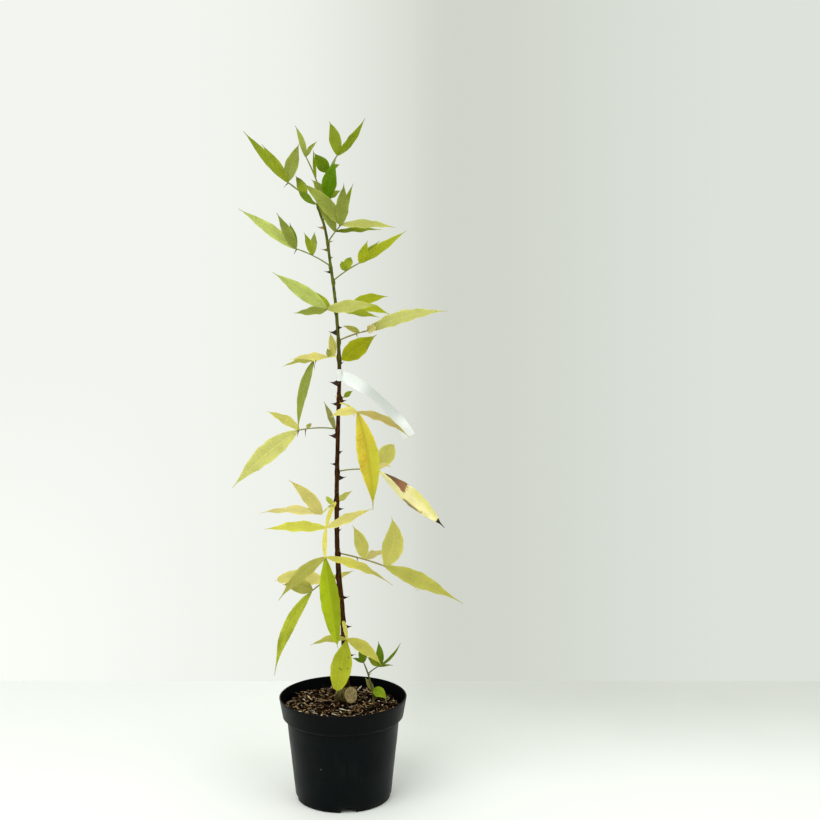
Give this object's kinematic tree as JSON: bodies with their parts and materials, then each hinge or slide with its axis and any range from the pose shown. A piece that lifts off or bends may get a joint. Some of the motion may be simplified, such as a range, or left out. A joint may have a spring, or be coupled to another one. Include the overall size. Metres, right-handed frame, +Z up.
{
  "type": "potted thorny shrub",
  "caption": "Young single-stemmed shrub with thorny bark, compound leaves of narrow yellowing leaflets and a basal shoot, in a round black nursery pot of compost.",
  "frame": {"origin": "middle of the pot's flat underside, on the ground", "axes": "+X to the right of the plant seen from its front, +Y to its back, +Z up along the pot's axis"},
  "size_m": [0.316, 0.1937, 0.9571],
  "materials": {
    "pot": "satin black nursery plastic, a little dusty",
    "soil": "damp dark compost with bark chips",
    "bark": "dark brown bark, green towards the tip",
    "green_leaf": "thin matt leaf, yellow green",
    "yellow_leaf": "thin matt leaf, turning yellow",
    "dry_leaf": "thin dry leaf, straw yellow with brown patches",
    "shoot": "fresh green young shoot",
    "label": "bare milky plastic strip"
  },
  "bodies": {
    "root": {"pot": "pot", "soil": "soil", "trunk": "bark", "leaf_low_front": "green_leaf", "leaf_low_left": "yellow_leaf", "leaf_low_right": "green_leaf", "leaf_mid_left": "yellow_leaf", "leaf_mid_front": "yellow_leaf", "leaf_dry_right": "dry_leaf", "leaf_long_left": "green_leaf", "leaf_front_yellow": "yellow_leaf", "leaf_bud": "green_leaf", "leaf_right_broad": "green_leaf", "leaf_left_hanging": "green_leaf", "leaf_right_long": "green_leaf", "leaf_upper_front": "green_leaf", "leaf_upper_back": "green_leaf", "leaf_small_right": "green_leaf", "leaf_upper_left": "green_leaf", "leaf_crown_front": "green_leaf", "leaf_crown_left": "green_leaf", "leaf_crown_inner": "green_leaf", "leaf_crown_right": "green_leaf", "leaf_tip": "green_leaf", "basal_shoot": "shoot", "label": "label"}
  },
  "joints": []
}
